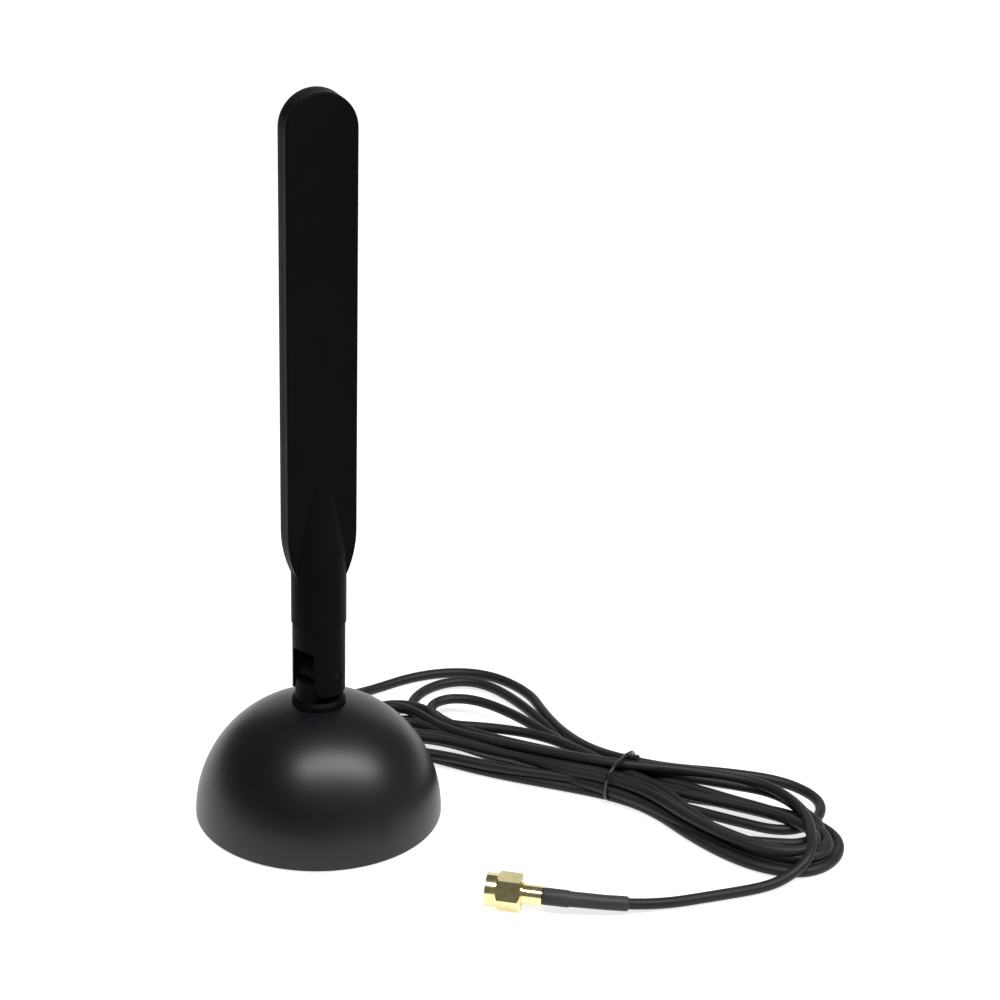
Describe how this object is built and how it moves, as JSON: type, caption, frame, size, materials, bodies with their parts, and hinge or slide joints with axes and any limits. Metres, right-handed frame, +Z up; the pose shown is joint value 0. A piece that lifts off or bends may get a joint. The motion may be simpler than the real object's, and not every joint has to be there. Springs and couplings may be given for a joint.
{
  "type": "wifi antenna",
  "caption": "Flat paddle antenna on a swivelling, folding knuckle over a weighted dome stand, with a bundled coaxial lead and a gold screw-on plug.",
  "frame": {"origin": "centre of the foot pad's underside, on the dome's axis", "axes": "+Z up along the antenna; -Y towards the side that the picture shows; +X to its right"},
  "size_m": [0.1603, 0.1206, 0.1818],
  "materials": {
    "black_plastic": "satin",
    "black_rubber": "matte",
    "cable_jacket": "satin",
    "shrink_tube": "satin",
    "tie_plastic": "satin",
    "ferrite": "matte",
    "steel": "zinc plated",
    "plain_brass": "machined",
    "gold_plate": "gold plated, polished",
    "white_insulator": "satin",
    "circuit_board": "lacquered",
    "copper_foil": "tinned foil"
  },
  "bodies": {
    "stand": {"base_plate": "black_plastic", "dome_shell": "black_plastic", "hinge_post": "black_plastic", "foot_pad": "black_rubber", "cable_grommet": "black_rubber", "connector_gasket": "black_rubber", "inner_lead": "cable_jacket", "cable_lead": "cable_jacket", "cable_hank": "cable_jacket", "cable_tail": "cable_jacket", "heat_shrink_sleeve": "shrink_tube", "cable_tie": "tie_plastic", "base_magnet": "ferrite", "base_screws": "steel", "post_washer": "steel", "post_nut": "plain_brass", "crimp_ferrule": "gold_plate", "connector_body": "gold_plate", "center_contact": "gold_plate", "nut_retaining_ring": "gold_plate", "connector_insulator": "white_insulator"},
    "knuckle": {"hinge_fork": "black_plastic", "hinge_pin": "steel"},
    "blade": {"blade_front_shell": "black_plastic", "blade_back_shell": "black_plastic", "radiator_board": "circuit_board", "dipole_strips": "copper_foil", "feed_coax": "cable_jacket"},
    "plug_nut": {"coupling_nut": "gold_plate"}
  },
  "joints": [
    {"name": "fold", "type": "hinge", "parent": "stand", "child": "knuckle", "pos_m": [0, 0, 0.0388], "axis": [0.788, -0.6157, 0], "range_deg": [0, 90]},
    {"name": "swivel", "type": "hinge", "parent": "knuckle", "child": "blade", "pos_m": [0, 0, 0.052], "axis": [0, 0, 1], "range_deg": [-180, 180]},
    {"name": "nut_spin", "type": "hinge", "parent": "stand", "child": "plug_nut", "pos_m": [0.0423, -0.0411, 0.004], "axis": [-0.9836, 0.1805, 0], "continuous": true}
  ]
}
